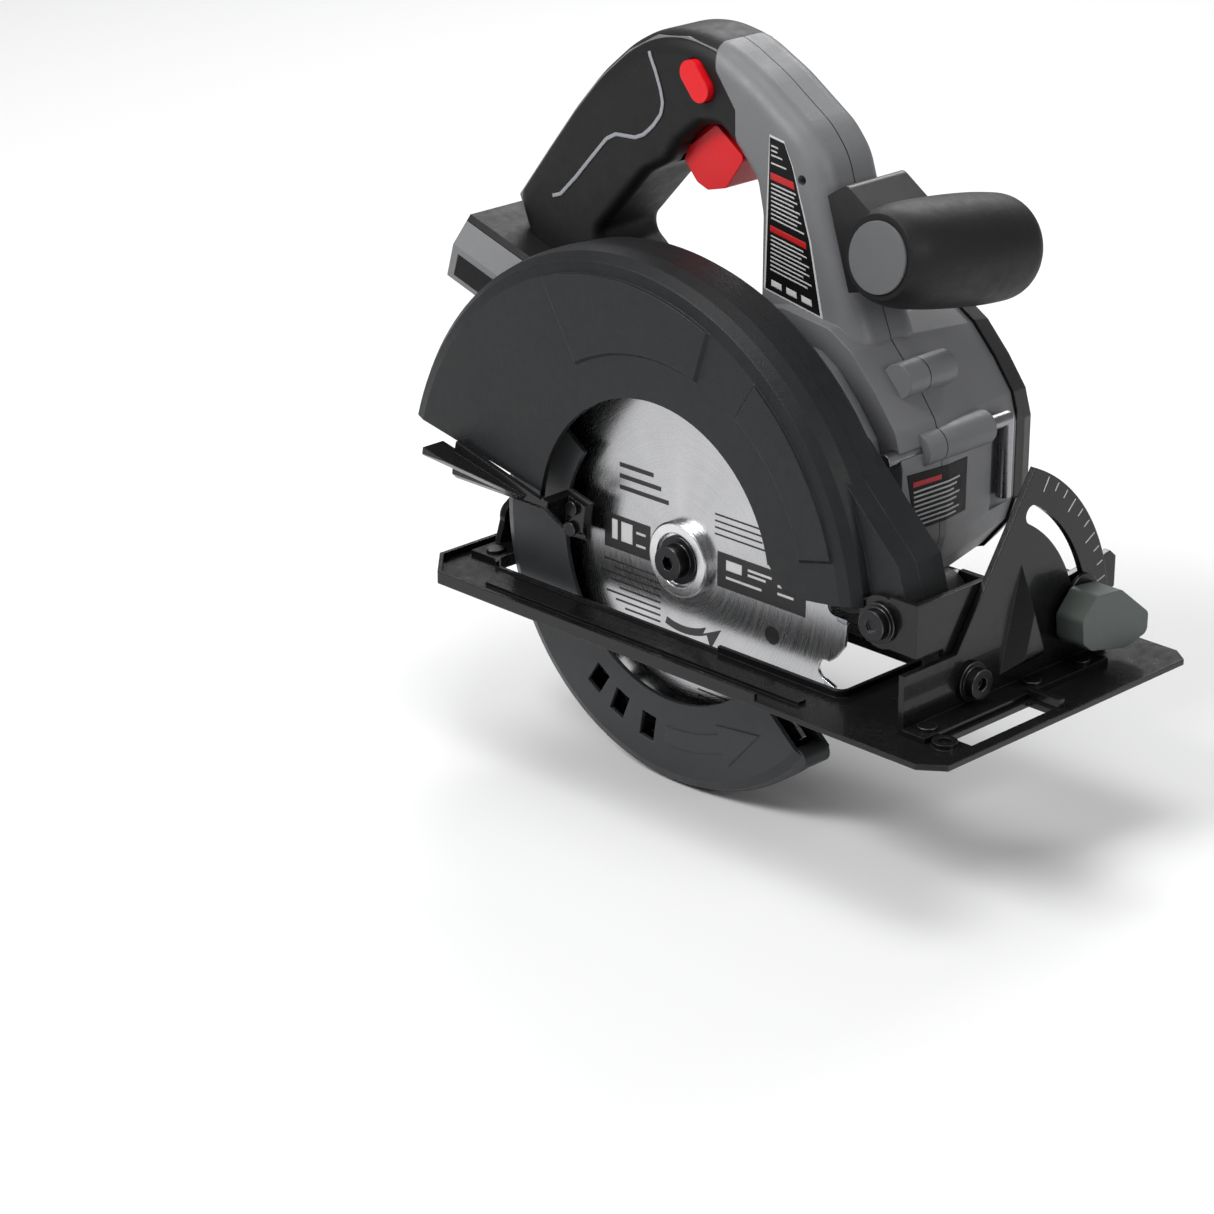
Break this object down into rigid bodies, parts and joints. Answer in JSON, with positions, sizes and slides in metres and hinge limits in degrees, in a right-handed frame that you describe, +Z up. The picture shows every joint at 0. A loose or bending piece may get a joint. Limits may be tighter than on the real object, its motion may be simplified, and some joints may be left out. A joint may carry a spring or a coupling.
{
  "type": "circular saw",
  "caption": "Cordless circular saw with its blade on the right, two guards, a tilting shoe, a top handle with red trigger, and no battery fitted.",
  "frame": {"origin": "on the sole plane, on the solid strip of the shoe under the motor, straight below the blade's arbor axis", "axes": "+X forward along the cut, +Y towards the motor side (the saw's left as held), +Z up from the sole"},
  "size_m": [0.3013, 0.1502, 0.2796],
  "materials": {
    "guard_paint": "satin",
    "lower_guard_paint": "satin",
    "housing_plastic": "satin",
    "grip_rubber": "matte",
    "black_plastic": "satin",
    "grey_cap": "satin",
    "red_plastic": "gloss",
    "black_paint": "gloss",
    "lever_grey": "satin",
    "die_cast": "matte",
    "blade_steel": "satin",
    "carbide": "satin",
    "bright_steel": "satin",
    "dark_steel": "satin",
    "motor_steel": "satin",
    "magnet": "matte",
    "copper": "satin",
    "fan_plastic": "satin",
    "label_face": "gloss"
  },
  "bodies": {
    "base": {"shoe_plate": "black_paint", "shoe_rivets": "dark_steel", "bevel_quadrant": "black_paint", "rear_pivot_ear": "black_paint", "pivot_screws": "dark_steel"},
    "tilt_frame": {"front_bracket": "black_paint", "pivot_nuts": "dark_steel", "depth_pivot_screw": "dark_steel", "depth_pivot_nut": "dark_steel", "rear_bracket": "black_paint", "bevel_bolt": "dark_steel", "bevel_washer": "dark_steel"},
    "saw_head": {"housing_right": "housing_plastic", "housing_left": "housing_plastic", "motor_end_cap": "black_plastic", "grip_cover": "grip_rubber", "battery_foot": "housing_plastic", "foot_top": "grip_rubber", "voltage_badge": "label_face", "battery_rails": "grey_cap", "terminal_block": "black_plastic", "front_handle_grip": "grip_rubber", "front_handle_neck": "black_plastic", "front_handle_cap": "grey_cap", "switch_body": "black_plastic", "trigger_spring": "dark_steel", "housing_screws": "dark_steel", "side_label": "label_face", "gear_case": "housing_plastic", "bearing_plate": "die_cast", "retaining_ring": "dark_steel", "upper_guard": "guard_paint", "guard_shell": "guard_paint", "spindle_bearings": "bright_steel", "armature_bearings": "bright_steel", "motor_can": "motor_steel", "field_magnets": "magnet", "brush_holders": "black_plastic", "carbon_brushes": "magnet", "depth_bolt": "dark_steel", "guard_spring": "dark_steel"},
    "blade_spindle": {"blade": "blade_steel", "carbide_tips": "carbide", "inner_flange": "bright_steel", "outer_flange": "bright_steel", "blade_bolt": "dark_steel", "spindle": "bright_steel", "spindle_gear": "bright_steel"},
    "armature": {"armature_shaft": "bright_steel", "armature_core": "motor_steel", "commutator": "copper", "cooling_fan": "fan_plastic"},
    "lower_guard": {"lower_guard": "lower_guard_paint", "guard_lever": "black_paint", "lever_screws": "dark_steel"},
    "trigger": {"trigger": "red_plastic"},
    "lock_off": {"lock_off_button": "red_plastic"},
    "bevel_lever": {"bevel_lever": "lever_grey"},
    "depth_lever": {"depth_lever": "black_paint"},
    "hex_key": {"hex_key": "bright_steel"}
  },
  "joints": [
    {"name": "bevel_hinge", "type": "hinge", "parent": "base", "child": "tilt_frame", "pos_m": [0, -0.045, 0.0125], "axis": [1, 0, 0], "range_deg": [0, 45]},
    {"name": "depth_hinge", "type": "hinge", "parent": "tilt_frame", "child": "saw_head", "pos_m": [0.1076, -0.06, 0.0368], "axis": [0, 1, 0], "range_deg": [0, 27]},
    {"name": "blade_spin", "type": "hinge", "parent": "saw_head", "child": "blade_spindle", "pos_m": [0, -0.06, 0.02824], "axis": [0, 1, 0], "continuous": true},
    {"name": "armature_spin", "type": "hinge", "parent": "saw_head", "child": "armature", "pos_m": [0.0126, -0.06, 0.05006], "axis": [0, 1, 0], "continuous": true},
    {"name": "lower_guard_swing", "type": "hinge", "parent": "saw_head", "child": "lower_guard", "pos_m": [0, -0.06, 0.02824], "axis": [0, 1, 0], "range_deg": [0, 110], "stiffness_Nm_per_rad": 0.06, "springref_deg": -34.38},
    {"name": "trigger_slide", "type": "slide", "parent": "saw_head", "child": "trigger", "axis": [-0.6801, 0, 0.7331], "range_m": [0, 0.005], "stiffness_N_per_m": 500, "springref_m": -0.002, "deforming": ["trigger_spring"]},
    {"name": "lock_off_slide", "type": "slide", "parent": "saw_head", "child": "lock_off", "axis": [0, 1, 0], "range_m": [0, 0.003], "stiffness_N_per_m": 500, "springref_m": -0.001},
    {"name": "bevel_lever_turn", "type": "hinge", "parent": "tilt_frame", "child": "bevel_lever", "pos_m": [0.135, 0.01614, 0.02809], "axis": [1, 0, 0], "range_deg": [0, 35]},
    {"name": "depth_lever_turn", "type": "hinge", "parent": "saw_head", "child": "depth_lever", "pos_m": [-0.04218, -0.038, 0.04491], "axis": [0, 1, 0], "range_deg": [0, 35]},
    {"name": "hex_key_slide", "type": "slide", "parent": "saw_head", "child": "hex_key", "axis": [0, 1, 0], "range_m": [0, 0.06]}
  ],
  "couplings": [
    {"joint": "armature_spin", "follows": "blade_spin", "ratio": -4.6}
  ]
}
